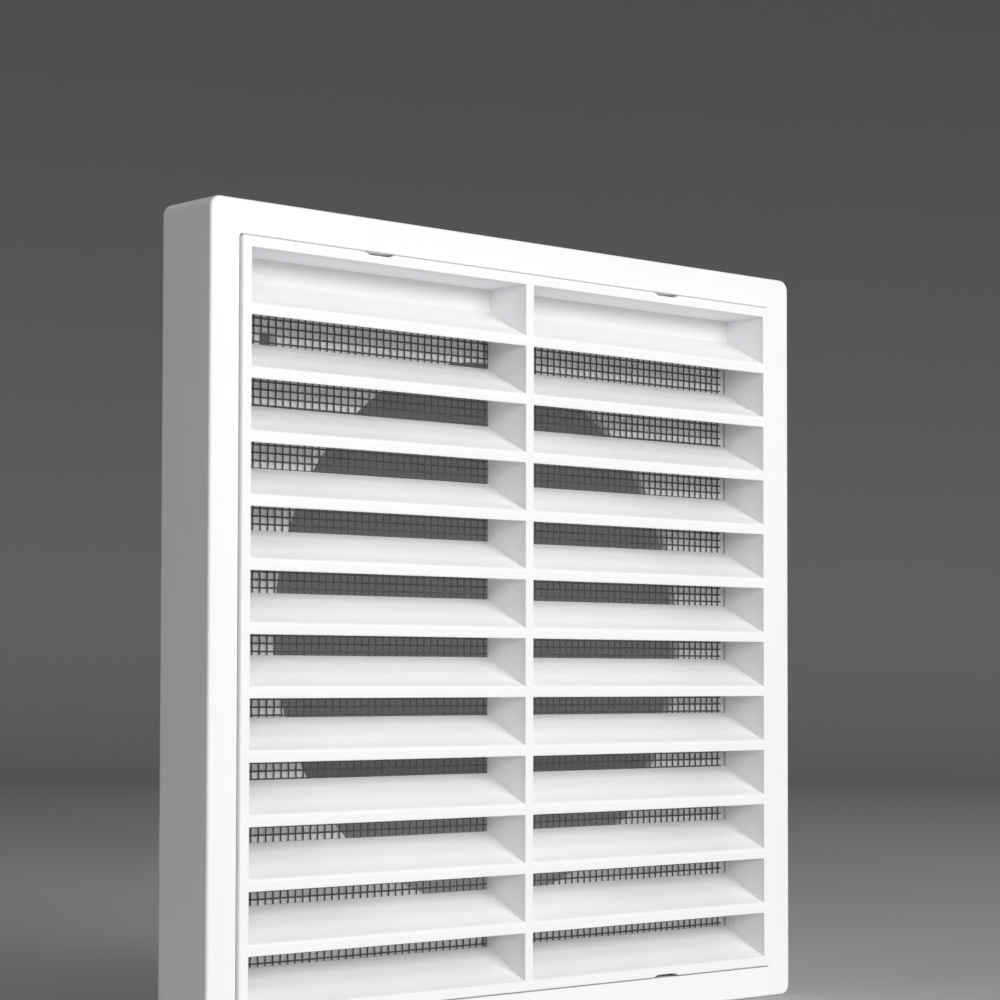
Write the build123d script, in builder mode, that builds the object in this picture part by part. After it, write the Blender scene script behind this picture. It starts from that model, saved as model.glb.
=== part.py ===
"""Square louvred wall vent for a round dryer or bathroom duct, in millimetres.

Three pieces: a moulded surround housing, a louvre insert that snaps into it from the front,
and a fly screen held between the slats and the back plate of the housing.
The vent stands upright on its lower edge, +Z up, and its louvres face -Y.
"""

import os

from build123d import *

# Surround housing
surround_size = 140.0
surround_depth = 13.4
border_width = 5.8
outer_corner_radius = 2.0
front_edge_radius = 0.6
opening_edge_radius = 0.3
wall = 1.6
plate_thickness = 1.6
plate_recess = 1.6
duct_hole_diameter = 98.0

# Screw slots in the back plate, measured from the inner walls of the housing
slot_width = 3.4
slot_height = 3.6
slot_corner_radius = 0.4
slot_side_inset = 13.4
slot_end_inset = 16.0

# Louvre insert
insert_clearance = 0.2
insert_proud = 0.6
insert_corner_radius = 0.5
insert_edge_radius = 0.3
rim_width = 1.9
mullion_width = 1.9
louvre_rows = 12
slat_front_edge = 2.0
slat_back_edge = 1.6
slat_rise = 5.3
slat_drop = 0.45
slat_top_radius = 0.7
lip_radius = 0.15
grid_overlap = 0.75
blind_wall = 0.6
blind_foot_radius = 1.0

# Snap barbs on the insert, the windows that hold them, and the pry notches above them
snap_offset = 35.0
snap_width = 6.0
snap_catch = 0.5
snap_ramp = 1.6
snap_heel = 0.4
snap_from_back = 2.4
snap_play = 0.2
notch_width = 7.0
notch_depth = 0.5
notch_taper = 1.2
notch_reach = 2.0

# Fly screen
screen_thickness = 0.5
screen_margin = 1.1
screen_strand = 1.0
screen_columns = 10
screen_rows = 12

# Sizes that follow from the ones above
total_depth = surround_depth + insert_proud
duct_height = surround_size / 2
housing_opening = surround_size - 2 * border_width
insert_size = housing_opening - 2 * insert_clearance
louvre_opening = insert_size - 2 * rim_width
slat_pitch = (louvre_opening + 2 * grid_overlap) / louvre_rows
plate_front = plate_recess + plate_thickness
insert_back = plate_front + screen_thickness
insert_depth = total_depth - insert_back
screen_size = louvre_opening - 2 * screen_margin


def wall_plane(forward):
    """Plane parallel to the house wall, a given distance in front of it, centred on the duct."""
    return Plane(
        origin=(0, total_depth / 2 - forward, duct_height),
        x_dir=(1, 0, 0),
        z_dir=(0, -1, 0),
    )


def side_plane(offset):
    """Plane seen from the left: its x runs from the wall to the front, its y runs up from the duct."""
    return Plane(
        origin=(offset, total_depth / 2, duct_height),
        x_dir=(0, -1, 0),
        z_dir=(-1, 0, 0),
    )


def slat_height(row):
    """Height above the duct's axis of the front edge of the slat below a row; row 1 is the top one."""
    return (louvre_rows / 2 - row) * slat_pitch - slat_drop


def snap_places():
    """Centres of the four snaps along X, two above and two below the louvres."""
    return [(side * snap_offset, end) for side in (-1, 1) for end in (-1, 1)]


os.makedirs("parts", exist_ok=True)

# Surround housing: a rounded box, hollowed from the front for the insert and from the back
with BuildPart() as surround_housing:
    with BuildSketch(wall_plane(0)):
        RectangleRounded(surround_size, surround_size, outer_corner_radius)
    extrude(amount=surround_depth)
    fillet(surround_housing.faces().sort_by(Axis.Y)[0].edges(), front_edge_radius)

    # Seat of the louvre insert, down to the back plate
    with BuildSketch(wall_plane(plate_front)):
        RectangleRounded(housing_opening, housing_opening, insert_corner_radius + insert_clearance)
    extrude(amount=surround_depth - plate_front, mode=Mode.SUBTRACT)
    border = surround_housing.faces().sort_by(Axis.Y)[0]
    fillet(border.inner_wires()[0].edges(), opening_edge_radius)

    # The plate stands clear of the house wall, inside the outer wall
    skirt_opening = surround_size - 2 * wall
    with BuildSketch(wall_plane(0)):
        RectangleRounded(skirt_opening, skirt_opening, outer_corner_radius - wall)
    extrude(amount=plate_recess, mode=Mode.SUBTRACT)

    # Groove between the outer wall and the wall round the insert, open at the back
    inner_wall_size = housing_opening + 2 * wall
    with BuildSketch(wall_plane(0)):
        RectangleRounded(skirt_opening, skirt_opening, outer_corner_radius - wall)
        Rectangle(inner_wall_size, inner_wall_size, mode=Mode.SUBTRACT)
    extrude(amount=surround_depth - wall, mode=Mode.SUBTRACT)

    # Round duct hole and the two screw slots, at opposite corners of the plate
    slot_x = housing_opening / 2 - slot_side_inset
    slot_y = housing_opening / 2 - slot_end_inset
    with BuildSketch(wall_plane(plate_recess)):
        Circle(duct_hole_diameter / 2)
        with Locations((-slot_x, slot_y), (slot_x, -slot_y)):
            RectangleRounded(slot_width, slot_height, slot_corner_radius)
    extrude(amount=plate_thickness, mode=Mode.SUBTRACT)

    # Windows through the inner wall for the snap barbs of the insert
    window_depth = snap_ramp + snap_heel + 2 * snap_play
    window_forward = insert_back + snap_from_back - snap_play
    window_centre = housing_opening / 2 + wall / 2
    with BuildSketch(wall_plane(window_forward)):
        with Locations(*[(x, end * window_centre) for x, end in snap_places()]):
            Rectangle(snap_width + 2 * snap_play, wall)
    extrude(amount=window_depth, mode=Mode.SUBTRACT)

surround_housing.part.label = "surround_housing"
export_step(surround_housing.part, "parts/surround_housing.step")

# Section of one slat, soft along its upper front edge and sharp along its lower one
slat_back_top = slat_front_edge / 2 + slat_rise
slat_back_bottom = slat_back_top - slat_back_edge
with BuildSketch() as slat_section:
    Polygon(
        (total_depth, -slat_front_edge / 2),
        (total_depth, slat_front_edge / 2),
        (insert_back, slat_back_top),
        (insert_back, slat_back_bottom),
        align=None,
    )
    fillet(slat_section.vertices().group_by(Axis.X)[-1].sort_by(Axis.Y)[-1], slat_top_radius)
    fillet(slat_section.vertices().group_by(Axis.X)[-1].sort_by(Axis.Y)[0], lip_radius)

# Louvre insert: rim, mullion and slats in one moulding
with BuildPart() as louvre_insert:
    with BuildSketch(wall_plane(insert_back)):
        RectangleRounded(insert_size, insert_size, insert_corner_radius)
        Rectangle(louvre_opening, louvre_opening, mode=Mode.SUBTRACT)
        Rectangle(mullion_width, louvre_opening)
    extrude(amount=insert_depth)
    fillet(louvre_insert.faces().sort_by(Axis.Y)[0].outer_wire().edges(), insert_edge_radius)
    openings = louvre_insert.faces().sort_by(Axis.Y)[0].inner_wires()
    fillet([edge for opening in openings for edge in opening.edges()], lip_radius)

    # Slats rise towards the back, so that rain runs off to the front; a sill does so on the lower rim
    slat_length = louvre_opening + rim_width
    with BuildSketch(side_plane(slat_length / 2)):
        with Locations(*[(0, slat_height(row)) for row in range(1, louvre_rows)]):
            add(slat_section.sketch)
        Polygon(
            (total_depth - lip_radius, -louvre_opening / 2),
            (insert_back, -louvre_opening / 2 + slat_rise),
            (insert_back, -louvre_opening / 2),
            align=None,
        )
    extrude(amount=slat_length)

    # The top row is blind: a wall closes it behind the first slat
    blind_bottom = slat_height(1) + slat_back_bottom
    blind_height = louvre_opening / 2 - blind_bottom
    with BuildSketch(wall_plane(insert_back)):
        with Locations((0, blind_bottom + blind_height / 2)):
            Rectangle(louvre_opening, blind_height)
    extrude(amount=blind_wall)

    # Soft foot where the blind wall meets the first slat
    blind_faces = louvre_insert.faces().filter_by(Axis.Y).group_by(Axis.Y)[1]
    fillet([face.edges().sort_by(Axis.Z)[0] for face in blind_faces], blind_foot_radius)

    # Pry notches with sloping ends in the front edge of the rim
    for x, end in snap_places():
        with BuildSketch(wall_plane(total_depth)):
            with Locations((x, end * insert_size / 2)):
                Polygon(
                    (-notch_width / 2 - notch_taper, end * notch_depth),
                    (notch_width / 2 + notch_taper, end * notch_depth),
                    (notch_width / 2 - notch_taper, -end * notch_depth),
                    (-notch_width / 2 + notch_taper, -end * notch_depth),
                    align=None,
                )
        extrude(amount=-notch_reach - insert_proud, mode=Mode.SUBTRACT)

    # Snap barbs, ramped towards the wall so that they click in from the front
    barb_height = insert_clearance + snap_catch
    barb_back = insert_back + snap_from_back
    for x, end in snap_places():
        with BuildSketch(side_plane(x + snap_width / 2)):
            with BuildLine():
                Polyline(
                    (barb_back, end * insert_size / 2),
                    (barb_back + snap_ramp, end * (insert_size / 2 + barb_height)),
                    (barb_back + snap_ramp + snap_heel, end * insert_size / 2),
                    close=True,
                )
            make_face()
        extrude(amount=snap_width)

louvre_insert.part.label = "louvre_insert"
export_step(louvre_insert.part, "parts/louvre_insert.step")

# Fly screen: one thin sheet with a grid of gaps; the woven strands are finer than this grid
with BuildPart() as fly_screen:
    gap_pitch_x = (screen_size - screen_strand) / screen_columns
    gap_pitch_y = (screen_size - screen_strand) / screen_rows
    with BuildSketch(wall_plane(plate_front)):
        Rectangle(screen_size, screen_size)
        with GridLocations(gap_pitch_x, gap_pitch_y, screen_columns, screen_rows):
            Rectangle(gap_pitch_x - screen_strand, gap_pitch_y - screen_strand, mode=Mode.SUBTRACT)
    extrude(amount=screen_thickness)

fly_screen.part.label = "fly_screen"
export_step(fly_screen.part, "parts/fly_screen.step")
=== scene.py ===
"""A white louvred wall vent with a woven fly screen, dressed for a studio picture.

Lengths are in metres, X to the right of the vent's face, the face towards -Y and Z up.
"""

import math

import bpy
from mathutils import Matrix, Vector


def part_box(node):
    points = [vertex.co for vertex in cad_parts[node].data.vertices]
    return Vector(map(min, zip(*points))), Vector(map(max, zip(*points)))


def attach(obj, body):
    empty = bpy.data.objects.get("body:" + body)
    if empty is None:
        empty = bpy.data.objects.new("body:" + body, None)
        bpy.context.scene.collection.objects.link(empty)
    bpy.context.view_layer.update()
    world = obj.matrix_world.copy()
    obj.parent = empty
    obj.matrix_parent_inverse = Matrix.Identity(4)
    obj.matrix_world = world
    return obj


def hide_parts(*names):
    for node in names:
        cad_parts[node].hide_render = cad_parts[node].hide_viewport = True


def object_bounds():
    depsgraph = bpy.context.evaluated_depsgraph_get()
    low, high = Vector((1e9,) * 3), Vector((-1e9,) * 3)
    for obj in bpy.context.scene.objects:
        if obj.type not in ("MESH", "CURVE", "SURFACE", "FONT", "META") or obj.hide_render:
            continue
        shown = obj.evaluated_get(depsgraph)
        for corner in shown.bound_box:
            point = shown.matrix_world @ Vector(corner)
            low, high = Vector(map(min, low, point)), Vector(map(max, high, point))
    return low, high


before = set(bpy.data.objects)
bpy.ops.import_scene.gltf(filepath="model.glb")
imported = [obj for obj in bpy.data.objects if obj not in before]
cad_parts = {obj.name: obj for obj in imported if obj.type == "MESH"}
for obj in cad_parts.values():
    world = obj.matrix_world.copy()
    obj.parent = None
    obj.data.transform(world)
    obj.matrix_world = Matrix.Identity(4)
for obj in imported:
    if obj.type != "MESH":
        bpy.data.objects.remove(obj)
cad_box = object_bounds()

MM = 0.001

# The camera: its lens, where it aims, how far it stands and how it is turned.
IMAGE_PIXELS = 1000
FOCAL_PIXELS = 2651.1
SENSOR_WIDTH = 36.0
FRAME_SHIFT = 0.075
NEAREST_SEEN = 0.01
FARTHEST_SEEN = 20.0
AIM_POINT = Vector((-6.68 * MM, -6.4 * MM, 79.84 * MM))
AIM_DISTANCE = 469.8 * MM
CAMERA_YAW = math.radians(42.25)
CAMERA_PITCH = math.radians(2.23)
CAMERA_ROLL = math.radians(0.115)

# The white mouldings: a dull and a bright tone for each, and its own place in the shared pattern.
SURROUND_WHITES = ((0.888, 0.890, 0.901), (0.918, 0.920, 0.930))
INSERT_WHITES = ((0.893, 0.895, 0.906), (0.923, 0.925, 0.935))
SURROUND_PLACE = (0.0, 0.0, 0.0)
INSERT_PLACE = (0.31, 0.17, 0.43)

# Their skin: a fine grain, slow changes of tone, and flow marks that are drawn out along X.
GRAIN_SIZE = 0.22 * MM
GRAIN_HEIGHT = 0.02 * MM
GRAIN_STRENGTH = 0.18
MOTTLE_SIZE = 38 * MM
FLOW_SIZE = 5 * MM
FLOW_DRAW = (0.12, 1.0, 1.0)
FLOW_SHARE = 0.25
FLOW_GLOSS = 0.05
SATIN_ROUGHNESS = (0.40, 0.54)
PLASTIC_IOR = 1.47

# Their edges: a small rounding, and a burnish that grows as the rounded face turns from the true one.
# The burnish starts and is full at these cosines of the angle between the two.
EDGE_RADIUS = 0.14 * MM
EDGE_SAMPLES = 4
EDGE_START = 0.995
EDGE_FULL = 0.8
EDGE_BURNISH = 0.1

# The woven screen: strands each way, their thickness and how far they weave over and under.
# Both counts are odd, so that the bends of one set meet the strands of the other.
UPRIGHT_STRANDS = 77
LEVEL_STRANDS = 91
STRAND_THICKNESS = 0.28 * MM
STRAND_CRIMP = 0.07 * MM
STRAND_SIDES = 6
BENDS_PER_CROSSING = 2
WEAVE_WANDER = 0.07 * MM
WANDER_SIZE = 45 * MM
WANDER_SEED = 4.7

# The yarn of the screen: its dark coat where it is thick and where it is worn, over a twisted core.
THICK_COAT = (0.101, 0.102, 0.107)
WORN_COAT = (0.162, 0.164, 0.170)
COAT_ROUGHNESS = (0.75, 0.90)
COAT_SHINE = 0.03
TONE_SIZE = 2.4 * MM
TWIST_SIZE = 0.35 * MM
TWIST_SLANT = 0.6
TWIST_SHARE = 0.3
TWIST_HEIGHT = 0.015 * MM
TWIST_STRENGTH = 0.5

# The studio: a round floor that curves up into a wall, of paper that is pale on the floor, with painted
# shade that greys it up the wall where the light falls off.
FLOOR_RADIUS = 1.15
WALL_CURVE = 0.6
WALL_HEIGHT = 1.0
FLOOR_DROP = 0.05 * MM
STAGE_SEGMENTS = 72
CURVE_STEPS = 12
PAPER_REACH = 2.0
PAPER_TONES_AND_PAINTED_SHADE = ((0.9, 0.50), (1.5, 0.43), (1.85, 0.25))
PAPER_ROUGHNESS = 0.9

# The lamps: which way each stands from the vent, how far off, how large, and its power in watts.
SOFT_BEAM = math.radians(150)
NARROW_BEAM = math.radians(16)
LAMPS = {
    "key_lamp": dict(direction=(0.08, -0.938, 0.34), distance=1.5, width=1.25, height=0.7, power=11.25),
    "top_lamp": dict(direction=(0.0, -0.62, 0.78), distance=1.4, width=1.2, height=0.6, power=2.85),
    "fill_lamp": dict(direction=(-0.6, -0.8, 0.12), distance=1.5, width=1.2, height=0.45, power=4.35),
    "back_lamp": dict(
        direction=(0.42, 0.90, 0.12), distance=1.0, width=0.18, height=0.14, power=0.11, beam=NARROW_BEAM
    ),
}
GLOW_COLOUR = (0.97, 0.985, 1.0, 1.0)
GLOW_STRENGTH = 0.06


# Node helpers


def add_node(tree, kind, name="", **settings):
    """Adds a node, sets its properties, and gives it a plain label."""
    node = tree.nodes.new(kind)
    if name:
        node.name = node.label = name
    for key, value in settings.items():
        setattr(node, key, value)
    return node


def fill(tree, socket, source):
    """Fills one input: an output socket is linked to it, a plain value is set on it."""
    if isinstance(source, bpy.types.NodeSocket):
        tree.links.new(source, socket)
    else:
        socket.default_value = source


def feed(tree, node, **sources):
    """Fills a node's inputs by name, with an underscore for a space."""
    for name, source in sources.items():
        fill(tree, node.inputs[name.replace("_", " ")], source)


def feed_at(tree, node, *sources):
    """Fills a node's first inputs in their order, for nodes whose sockets share a name."""
    for socket, source in zip(node.inputs, sources):
        fill(tree, socket, source)


def result_of(tree, kind, output, name="", **sources):
    """Adds a node, fills its inputs by name, and gives one of its output sockets."""
    node = add_node(tree, kind, name)
    feed(tree, node, **sources)
    return node.outputs[output]


def math_node(tree, operation, *values, name=""):
    """One sum on numbers, which gives its result's socket."""
    node = add_node(tree, "ShaderNodeMath", name, operation=operation)
    feed_at(tree, node, *values)
    return node.outputs["Value"]


def vector_node(tree, operation, *values, name=""):
    """One sum on vectors, which gives its result's socket, a number for a product or a length."""
    node = add_node(tree, "ShaderNodeVectorMath", name, operation=operation)
    feed_at(tree, node, *values)
    return node.outputs["Value" if operation in ("DOT_PRODUCT", "LENGTH") else "Vector"]


def vector_of(tree, name, **parts):
    """A vector with the given parts, which gives its socket."""
    return result_of(tree, "ShaderNodeCombineXYZ", "Vector", name, **parts)


def scaled_noise(tree, position, size, detail, roughness, name):
    """Noise whose grains are about the given size across, which gives a value from 0 to 1."""
    per_metre = math_node(tree, "DIVIDE", 1.0, size, name=name + " per metre")
    noise = add_node(tree, "ShaderNodeTexNoise", name)
    feed(tree, noise, Vector=position, Scale=per_metre, Detail=detail, Roughness=roughness)
    return noise.outputs["Fac"]


def between(tree, value, low, high, name):
    """Turns a value from 0 to 1 into one from low to high."""
    return result_of(tree, "ShaderNodeMapRange", "Result", name, Value=value, To_Min=low, To_Max=high)


def blend_tones(tree, share, first, second, name):
    """Mixes two plain colours, by a share from 0 to 1 of the second."""
    node = add_node(tree, "ShaderNodeMix", name, data_type="RGBA")
    feed(tree, node, Factor=share, A=(*first, 1.0), B=(*second, 1.0))
    return node.outputs["Result"]


def new_group(name, inputs, outputs):
    """A shader node group with named sockets, and its two end nodes."""
    group = bpy.data.node_groups.new(name, "ShaderNodeTree")
    for socket_name, kind in inputs:
        group.interface.new_socket(socket_name, in_out="INPUT", socket_type=kind)
    for socket_name, kind in outputs:
        group.interface.new_socket(socket_name, in_out="OUTPUT", socket_type=kind)
    return group, add_node(group, "NodeGroupInput").outputs, add_node(group, "NodeGroupOutput")


def place_group(tree, group, **values):
    """Puts a shared group into a material and fills its inputs."""
    node = add_node(tree, "ShaderNodeGroup", group.name, node_tree=group)
    feed(tree, node, **values)
    return node.outputs


def new_material(name):
    """A material with its Principled shader wired to the output, and the piece's own coordinates."""
    material = bpy.data.materials.new(name)
    material.use_nodes = True
    tree = material.node_tree
    tree.nodes.clear()
    surface = add_node(tree, "ShaderNodeBsdfPrincipled")
    output = add_node(tree, "ShaderNodeOutputMaterial")
    feed(tree, output, Surface=surface.outputs["BSDF"])
    position = add_node(tree, "ShaderNodeTexCoord").outputs["Object"]
    return material, tree, surface, position


# Shared surface effects


def moulded_skin_group():
    """The skin of a moulding: spark-eroded grain, slow tone changes and drawn-out flow marks."""
    group, given, result = new_group(
        "moulded skin",
        [
            ("Position", "NodeSocketVector"),
            ("Grain Size", "NodeSocketFloat"),
            ("Mottle Size", "NodeSocketFloat"),
            ("Flow Size", "NodeSocketFloat"),
        ],
        [("Grain", "NodeSocketFloat"), ("Mottle", "NodeSocketFloat"), ("Flow", "NodeSocketFloat")],
    )
    at = given["Position"]
    drawn = vector_node(group, "MULTIPLY", at, FLOW_DRAW, name="drawn out along the flow")
    grain = scaled_noise(group, at, given["Grain Size"], detail=2.0, roughness=0.65, name="spark grain")
    mottle = scaled_noise(group, at, given["Mottle Size"], detail=3.0, roughness=0.5, name="tone mottle")
    flow = scaled_noise(group, drawn, given["Flow Size"], detail=2.0, roughness=0.5, name="flow marks")
    feed(group, result, Grain=grain, Mottle=mottle, Flow=flow)
    return group


def soft_edge_group():
    """The small rounding that a mould leaves on every edge, as a normal and as a mask."""
    group, given, result = new_group(
        "soft edge",
        [("Radius", "NodeSocketFloat")],
        [("Normal", "NodeSocketVector"), ("Edge", "NodeSocketFloat")],
    )
    bevel = add_node(group, "ShaderNodeBevel", "rounded edge", samples=EDGE_SAMPLES)
    feed(group, bevel, Radius=given["Radius"])
    rounded = bevel.outputs["Normal"]
    true_face = add_node(group, "ShaderNodeNewGeometry", "true face").outputs["Normal"]
    agreement = vector_node(group, "DOT_PRODUCT", rounded, true_face, name="how far they agree")
    edge = add_node(group, "ShaderNodeMapRange", "edge mask")
    feed(group, edge, Value=agreement, From_Min=EDGE_START, From_Max=EDGE_FULL)
    feed(group, result, Normal=rounded, Edge=edge.outputs["Result"])
    return group


def coated_yarn_group():
    """A coated yarn: twist ribs under the coating along its run, and a tone for each length."""
    group, given, result = new_group(
        "coated yarn",
        [
            ("Position", "NodeSocketVector"),
            ("Run", "NodeSocketVector"),
            ("Twist Size", "NodeSocketFloat"),
            ("Tone Size", "NodeSocketFloat"),
        ],
        [("Twist", "NodeSocketFloat"), ("Tone", "NodeSocketFloat")],
    )
    at = given["Position"]
    along = vector_node(group, "DOT_PRODUCT", at, given["Run"], name="along the run")
    across = vector_node(group, "DOT_PRODUCT", at, (1.0, 1.0, 1.0), name="across the run")
    slant = math_node(group, "MULTIPLY", across, TWIST_SLANT, name="twist slant")
    path = math_node(group, "ADD", along, slant)
    turns = math_node(group, "DIVIDE", path, given["Twist Size"], name="turns of twist")
    angle = math_node(group, "MULTIPLY", turns, math.tau)
    wave = math_node(group, "SINE", angle, name="twist wave")
    twist = add_node(group, "ShaderNodeMapRange", "twist height")
    feed(group, twist, Value=wave, From_Min=-1.0, From_Max=1.0)
    tone = scaled_noise(group, at, given["Tone Size"], detail=2.0, roughness=0.6, name="yarn tone")
    feed(group, result, Twist=twist.outputs["Result"], Tone=tone)
    return group


# Materials


def white_moulding(name, skin, edges, place, whites):
    """White moulded plastic with a satin face and slightly burnished edges."""
    material, tree, surface, position = new_material(name)
    own_place = vector_node(tree, "ADD", position, place, name="its own place in the pattern")
    marks = place_group(
        tree,
        skin,
        Position=own_place,
        Grain_Size=GRAIN_SIZE,
        Mottle_Size=MOTTLE_SIZE,
        Flow_Size=FLOW_SIZE,
    )
    corner = place_group(tree, edges, Radius=EDGE_RADIUS)

    tone = math_node(
        tree, "MULTIPLY_ADD", marks["Flow"], FLOW_SHARE, marks["Mottle"], name="tone of the mix"
    )
    share = math_node(tree, "SUBTRACT", tone, FLOW_SHARE / 2)
    colour = blend_tones(tree, share, *whites, name="white")

    satin = between(tree, marks["Grain"], *SATIN_ROUGHNESS, name="satin grain")
    drift = between(tree, marks["Flow"], -FLOW_GLOSS, FLOW_GLOSS, name="flow gloss")
    uneven = math_node(tree, "ADD", satin, drift)
    burnish = math_node(tree, "MULTIPLY", corner["Edge"], -EDGE_BURNISH, name="burnished edge")
    roughness = math_node(tree, "ADD", uneven, burnish)

    bump = add_node(tree, "ShaderNodeBump", "grain relief")
    feed(tree, bump, Strength=GRAIN_STRENGTH, Distance=GRAIN_HEIGHT, Height=marks["Grain"])
    feed(tree, bump, Normal=corner["Normal"])
    relief = bump.outputs["Normal"]
    feed(tree, surface, Base_Color=colour, Roughness=roughness, Normal=relief, IOR=PLASTIC_IOR)
    return material


def screen_yarn(name, yarn, run):
    """Dark coated yarn, a little lighter where the coating is worn thin over the twist."""
    material, tree, surface, position = new_material(name)
    marks = place_group(tree, yarn, Position=position, Run=run, Twist_Size=TWIST_SIZE, Tone_Size=TONE_SIZE)
    wear = math_node(tree, "MULTIPLY_ADD", marks["Twist"], TWIST_SHARE, marks["Tone"], name="coat wear")
    share = math_node(tree, "SUBTRACT", wear, TWIST_SHARE / 2)
    colour = blend_tones(tree, share, THICK_COAT, WORN_COAT, name="dark coat")
    roughness = between(tree, marks["Tone"], *COAT_ROUGHNESS, name="coat gloss")
    bump = add_node(tree, "ShaderNodeBump", "twist relief")
    feed(tree, bump, Strength=TWIST_STRENGTH, Distance=TWIST_HEIGHT, Height=marks["Twist"])
    feed(tree, surface, Base_Color=colour, Roughness=roughness, Specular_IOR_Level=COAT_SHINE)
    feed(tree, surface, Normal=bump.outputs["Normal"])
    return material


def paper_with_painted_shade(name):
    """Matt paper, pale on the floor, with painted shade that greys it up the wall."""
    material, tree, surface, position = new_material(name)
    reach = vector_node(tree, "LENGTH", position, name="distance from the vent")
    # The tones grey the wall as it climbs: painted shade standing in for the light falling off there.
    tones = add_node(tree, "ShaderNodeValToRGB", "paper tones and painted wall shade")
    feed(tree, tones, Fac=math_node(tree, "DIVIDE", reach, PAPER_REACH))
    stops = tones.color_ramp.elements
    while len(stops) < len(PAPER_TONES_AND_PAINTED_SHADE):
        stops.new(0.5)
    for stop, (distance, tone) in zip(stops, PAPER_TONES_AND_PAINTED_SHADE):
        stop.position = distance / PAPER_REACH
        stop.color = (tone, tone, tone, 1.0)
    colour = tones.outputs["Color"]
    feed(tree, surface, Base_Color=colour, Roughness=PAPER_ROUGHNESS, Specular_IOR_Level=0.0)
    return material


# The woven screen


def crimped_strand(tree, given):
    """One strand along Z, bent to and fro by a cosine with its peaks at the crossings."""
    pitch = given["Crossing Pitch"]
    length = math_node(tree, "MULTIPLY", given["Crossings"], pitch, name="strand length")
    top = vector_of(tree, "strand top", Z=math_node(tree, "MULTIPLY", length, 0.5))
    foot = vector_of(tree, "strand foot", Z=math_node(tree, "MULTIPLY", length, -0.5))
    line = result_of(tree, "GeometryNodeCurvePrimitiveLine", "Curve", Start=foot, End=top)
    count = math_node(tree, "MULTIPLY_ADD", given["Crossings"], given["Bends"], 1.0, name="points")
    points = result_of(tree, "GeometryNodeResampleCurve", "Curve", Curve=line, Count=count)
    position = add_node(tree, "GeometryNodeInputPosition").outputs["Position"]
    height = result_of(tree, "ShaderNodeSeparateXYZ", "Z", Vector=position)
    crossing = math_node(tree, "DIVIDE", height, pitch)
    swing = math_node(tree, "COSINE", math_node(tree, "MULTIPLY", crossing, math.pi))
    over = vector_of(tree, "over and under", Y=math_node(tree, "MULTIPLY", swing, given["Crimp"]))
    crimped = add_node(tree, "GeometryNodeSetPosition", "crimp")
    feed(tree, crimped, Geometry=points, Offset=over)
    section = add_node(tree, "GeometryNodeCurvePrimitiveCircle", "strand section")
    feed(tree, section, Resolution=given["Sides"])
    feed(tree, section, Radius=math_node(tree, "MULTIPLY", given["Thickness"], 0.5))
    strand = add_node(tree, "GeometryNodeCurveToMesh", "strand")
    feed(tree, strand, Curve=crimped.outputs["Geometry"], Fill_Caps=True)
    feed(tree, strand, Profile_Curve=section.outputs["Curve"])
    return strand.outputs["Mesh"]


def strand_row(tree, given, strand):
    """A row of strands, every second one turned half round so that it weaves the other way."""
    last = math_node(tree, "SUBTRACT", given["Strands"], 1.0)
    width = math_node(tree, "MULTIPLY", last, given["Pitch"], name="set width")
    start = vector_of(tree, "first strand", X=math_node(tree, "MULTIPLY", width, -0.5))
    step = vector_of(tree, "next strand", X=given["Pitch"])
    row = add_node(tree, "GeometryNodeMeshLine", "row of strands", mode="OFFSET")
    feed(tree, row, Count=given["Strands"], Start_Location=start, Offset=step)
    index = add_node(tree, "GeometryNodeInputIndex").outputs["Index"]
    turn = vector_of(tree, "every second one turned", Z=math_node(tree, "MULTIPLY", index, math.pi))
    copies = add_node(tree, "GeometryNodeInstanceOnPoints", "copies of the strand")
    feed(tree, copies, Points=row.outputs["Mesh"], Instance=strand, Rotation=turn)
    laid = add_node(tree, "GeometryNodeTransform", "laid upright or level")
    feed(tree, laid, Geometry=copies.outputs["Instances"], Rotation=given["Turn"])
    return result_of(tree, "GeometryNodeRealizeInstances", "Geometry", Geometry=laid.outputs["Geometry"])


def wandering_weave(tree, given, strands):
    """Lets the weave wander a little in its own plane, by the same amount in both sets."""
    per_metre = math_node(tree, "DIVIDE", 1.0, given["Wander Size"])
    drift = add_node(tree, "ShaderNodeTexNoise", "wander", noise_dimensions="4D")
    feed(tree, drift, W=given["Seed"], Detail=1.0, Scale=per_metre)
    any_way = drift.outputs["Color"]
    to_and_fro = vector_node(tree, "SUBTRACT", any_way, (0.5, 0.5, 0.5), name="to and fro")
    in_plane = vector_node(tree, "MULTIPLY", to_and_fro, (1.0, 0.0, 1.0), name="in the plane")
    amount = add_node(tree, "ShaderNodeVectorMath", "wander length", operation="SCALE")
    feed(tree, amount, Vector=in_plane, Scale=given["Wander"])
    wandered = add_node(tree, "GeometryNodeSetPosition", "wandered")
    feed(tree, wandered, Geometry=strands, Offset=amount.outputs["Vector"])
    return wandered.outputs["Geometry"]


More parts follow.
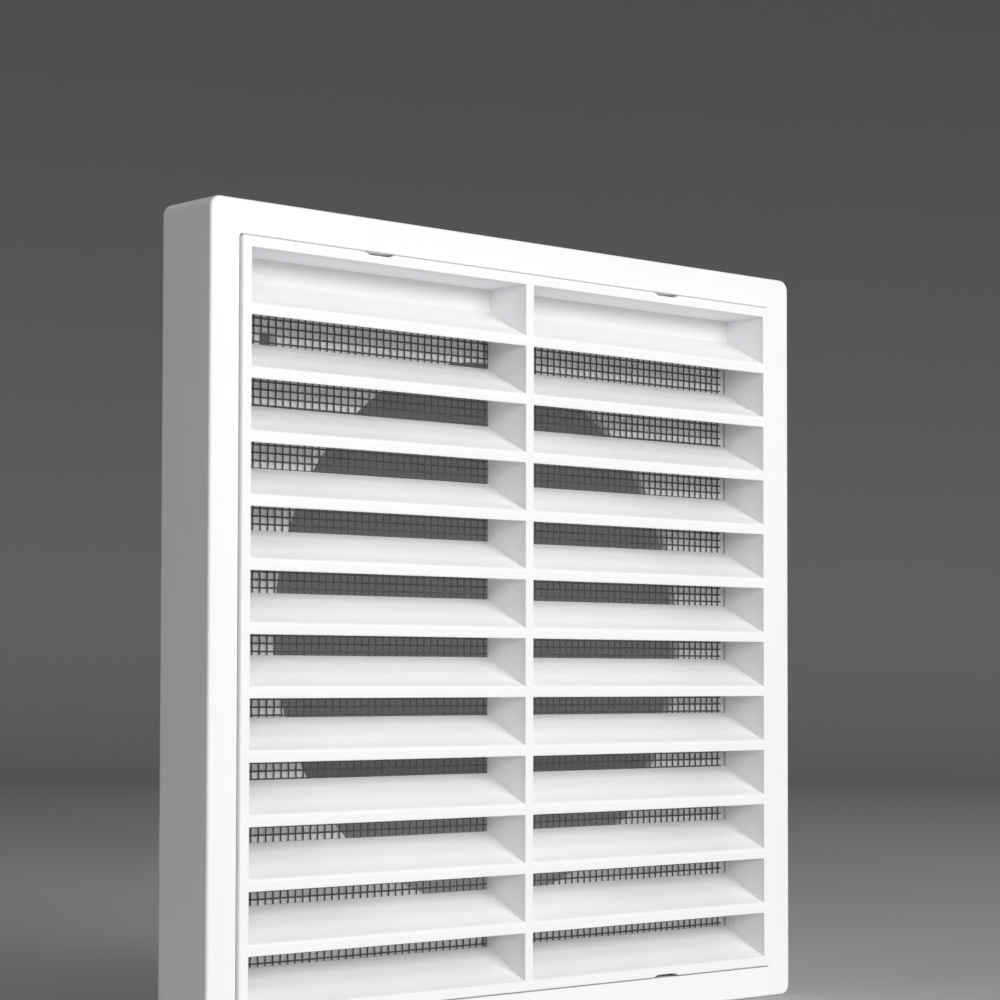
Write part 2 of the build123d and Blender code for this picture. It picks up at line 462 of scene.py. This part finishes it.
def strand_tree():
    """Geometry nodes for one set of parallel strands that weave over and under the other set."""
    tree = bpy.data.node_groups.new("woven strands", "GeometryNodeTree")
    tree.interface.new_socket("Geometry", in_out="OUTPUT", socket_type="NodeSocketGeometry")
    for name, kind in (
        ("Strands", "NodeSocketInt"),
        ("Pitch", "NodeSocketFloat"),
        ("Crossings", "NodeSocketInt"),
        ("Crossing Pitch", "NodeSocketFloat"),
        ("Bends", "NodeSocketInt"),
        ("Thickness", "NodeSocketFloat"),
        ("Sides", "NodeSocketInt"),
        ("Crimp", "NodeSocketFloat"),
        ("Turn", "NodeSocketVector"),
        ("Centre", "NodeSocketVector"),
        ("Wander", "NodeSocketFloat"),
        ("Wander Size", "NodeSocketFloat"),
        ("Seed", "NodeSocketFloat"),
        ("Material", "NodeSocketMaterial"),
    ):
        tree.interface.new_socket(name, in_out="INPUT", socket_type=kind)
    given = add_node(tree, "NodeGroupInput").outputs

    strands = strand_row(tree, given, crimped_strand(tree, given))
    weave = wandering_weave(tree, given, strands)
    seated = add_node(tree, "GeometryNodeTransform", "seated in the vent")
    feed(tree, seated, Geometry=weave, Translation=given["Centre"])
    smooth = result_of(tree, "GeometryNodeSetShadeSmooth", "Geometry", Geometry=seated.outputs["Geometry"])
    plain = result_of(tree, "GeometryNodeRealizeInstances", "Geometry", Geometry=smooth)
    coated = add_node(tree, "GeometryNodeSetMaterial")
    feed(tree, coated, Geometry=plain, Material=given["Material"])
    feed(tree, add_node(tree, "NodeGroupOutput"), Geometry=coated.outputs["Geometry"])
    return tree


def woven_strands(name, tree, **sizes):
    """One set of strands as a plain mesh piece that stands for the screen."""
    maker = bpy.data.objects.new(name + "_maker", bpy.data.meshes.new(name + "_maker"))
    bpy.context.scene.collection.objects.link(maker)
    modifier = maker.modifiers.new("strands", "NODES")
    modifier.node_group = tree
    sockets = {item.name: item.identifier for item in tree.interface.items_tree if item.in_out == "INPUT"}
    for key, value in sizes.items():
        modifier[sockets[key.replace("_", " ")]] = value
    evaluated = maker.evaluated_get(bpy.context.evaluated_depsgraph_get())
    mesh = bpy.data.meshes.new_from_object(evaluated)
    mesh.name = name
    bpy.data.objects.remove(maker)
    piece = bpy.data.objects.new(name, mesh)
    bpy.context.scene.collection.objects.link(piece)
    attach(piece, "root")
    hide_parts("fly_screen")


def make_screen(upright_yarn, level_yarn):
    """The fly screen: upright and level strands woven through each other, inside its CAD slab."""
    low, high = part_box("fly_screen")
    centre = (low + high) / 2
    upright_pitch = (high.x - low.x) / UPRIGHT_STRANDS
    level_pitch = (high.z - low.z) / LEVEL_STRANDS
    tree = strand_tree()
    shared = dict(
        Bends=BENDS_PER_CROSSING,
        Thickness=STRAND_THICKNESS,
        Sides=STRAND_SIDES,
        Centre=tuple(centre),
        Wander=WEAVE_WANDER,
        Wander_Size=WANDER_SIZE,
        Seed=WANDER_SEED,
    )
    woven_strands(
        "screen_upright_strands",
        tree,
        Strands=UPRIGHT_STRANDS,
        Pitch=upright_pitch,
        Crossings=LEVEL_STRANDS,
        Crossing_Pitch=level_pitch,
        Crimp=STRAND_CRIMP,
        Turn=(0.0, 0.0, 0.0),
        Material=upright_yarn,
        **shared,
    )
    woven_strands(
        "screen_level_strands",
        tree,
        Strands=LEVEL_STRANDS,
        Pitch=level_pitch,
        Crossings=UPRIGHT_STRANDS,
        Crossing_Pitch=upright_pitch,
        Crimp=-STRAND_CRIMP,
        Turn=(0.0, math.pi / 2, 0.0),
        Material=level_yarn,
        **shared,
    )


# The studio


def stage_profile():
    """Radius and height of each ring of the stage, from the edge of the floor to the top of the wall."""
    profile = [(FLOOR_RADIUS, 0.0)]
    for step in range(1, CURVE_STEPS + 1):
        angle = step / CURVE_STEPS * math.pi / 2
        profile.append((FLOOR_RADIUS + WALL_CURVE * math.sin(angle), WALL_CURVE * (1 - math.cos(angle))))
    profile.append((FLOOR_RADIUS + WALL_CURVE, WALL_HEIGHT))
    return profile


def make_stage(paper):
    """A round pale floor that curves up into a wall on every side."""
    profile = stage_profile()
    vertices = [(0.0, 0.0, -FLOOR_DROP)]
    for radius, height in profile:
        for segment in range(STAGE_SEGMENTS):
            angle = segment / STAGE_SEGMENTS * math.tau
            vertices.append((radius * math.cos(angle), radius * math.sin(angle), height - FLOOR_DROP))

    def at(ring, segment):
        return 1 + ring * STAGE_SEGMENTS + segment % STAGE_SEGMENTS

    faces = []
    for segment in range(STAGE_SEGMENTS):
        after = segment + 1
        faces.append((0, at(0, segment), at(0, after)))
        for ring in range(len(profile) - 1):
            faces.append((at(ring, segment), at(ring + 1, segment), at(ring + 1, after), at(ring, after)))
    mesh = bpy.data.meshes.new("studio_floor")
    mesh.from_pydata(vertices, [], faces)
    mesh.shade_smooth()
    mesh.materials.append(paper)
    floor = bpy.data.objects.new("studio_floor", mesh)
    bpy.context.scene.collection.objects.link(floor)


def add_lamp(name, target, direction, distance, width, height, power, beam=SOFT_BEAM):
    """A soft rectangular lamp that faces the target from the given direction."""
    lamp = bpy.data.lights.new(name, "AREA")
    lamp.shape = "RECTANGLE"
    lamp.size = width
    lamp.size_y = height
    lamp.energy = power
    lamp.spread = beam
    holder = bpy.data.objects.new(name, lamp)
    towards = Vector(direction).normalized()
    holder.location = target + towards * distance
    holder.rotation_euler = towards.to_track_quat("Z", "Y").to_euler()
    holder.visible_camera = False
    bpy.context.scene.collection.objects.link(holder)


def light_studio():
    """A wide key lamp in front, lamps above, at the left and behind, and a faint even glow."""
    target = (cad_box[0] + cad_box[1]) / 2
    for name, lamp in LAMPS.items():
        add_lamp(name, target, **lamp)
    world = bpy.data.worlds.new("studio glow")
    world.use_nodes = True
    background = world.node_tree.nodes["Background"]
    feed(world.node_tree, background, Color=GLOW_COLOUR, Strength=GLOW_STRENGTH)
    bpy.context.scene.world = world


def make_camera():
    """The camera, at the picture's own viewing angle."""
    forward = Vector(
        (
            math.sin(CAMERA_YAW) * math.cos(CAMERA_PITCH),
            math.cos(CAMERA_YAW) * math.cos(CAMERA_PITCH),
            math.sin(CAMERA_PITCH),
        )
    )
    level_right = forward.cross(Vector((0.0, 0.0, 1.0))).normalized()
    level_up = level_right.cross(forward)
    right = level_right * math.cos(CAMERA_ROLL) + level_up * math.sin(CAMERA_ROLL)
    up = right.cross(forward)
    camera = bpy.data.cameras.new("photo_camera")
    camera.sensor_width = SENSOR_WIDTH
    camera.lens = SENSOR_WIDTH * FOCAL_PIXELS / IMAGE_PIXELS
    camera.shift_y = FRAME_SHIFT
    camera.clip_start = NEAREST_SEEN
    camera.clip_end = FARTHEST_SEEN
    holder = bpy.data.objects.new("photo_camera", camera)
    turned = Matrix((right, up, -forward)).transposed().to_4x4()
    holder.matrix_world = Matrix.Translation(AIM_POINT - forward * AIM_DISTANCE) @ turned
    bpy.context.scene.collection.objects.link(holder)
    bpy.context.scene.camera = holder


def dress_vent():
    """Finishes the moulded pieces and puts the woven screen in place."""
    skin = moulded_skin_group()
    edges = soft_edge_group()
    yarn = coated_yarn_group()
    surround = white_moulding("surround white", skin, edges, SURROUND_PLACE, SURROUND_WHITES)
    insert = white_moulding("insert white", skin, edges, INSERT_PLACE, INSERT_WHITES)
    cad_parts["surround_housing"].material_slots[0].material = surround
    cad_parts["louvre_insert"].material_slots[0].material = insert
    make_screen(
        upright_yarn=screen_yarn("upright yarn", yarn, run=(0.0, 0.0, 1.0)),
        level_yarn=screen_yarn("level yarn", yarn, run=(1.0, 0.0, 0.0)),
    )


dress_vent()
make_stage(paper_with_painted_shade("pale paper with painted wall shade"))
light_studio()
make_camera()
bpy.context.scene.view_settings.view_transform = "Standard"
